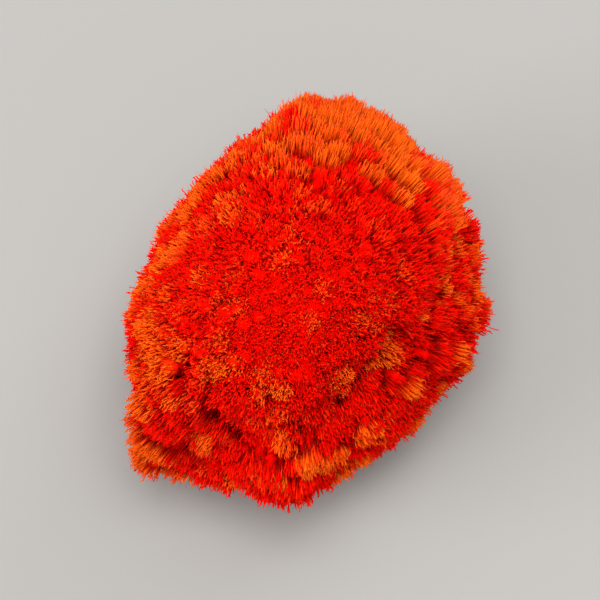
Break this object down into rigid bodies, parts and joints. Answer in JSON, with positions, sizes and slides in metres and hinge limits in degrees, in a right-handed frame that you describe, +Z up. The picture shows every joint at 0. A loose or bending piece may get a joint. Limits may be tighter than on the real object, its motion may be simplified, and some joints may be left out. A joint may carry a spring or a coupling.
{
  "type": "yarn pom pom",
  "caption": "Round fluffy pom pom of cut yarn, tied at its middle, for trimming hats, bags, cushions and garlands. It lies on a small flat side.",
  "frame": {"origin": "under the middle of the ball's box, on the surface that it lies on", "axes": "+Z up from the surface, +Y along the ball's longest side, away from the viewer, and +X to the viewer's right"},
  "size_m": [0.029, 0.0318, 0.0252],
  "materials": {
    "yarn": "matt, dyed acrylic yarn with fluffed cut ends"
  },
  "bodies": {
    "root": {"pile": "yarn"}
  },
  "joints": []
}
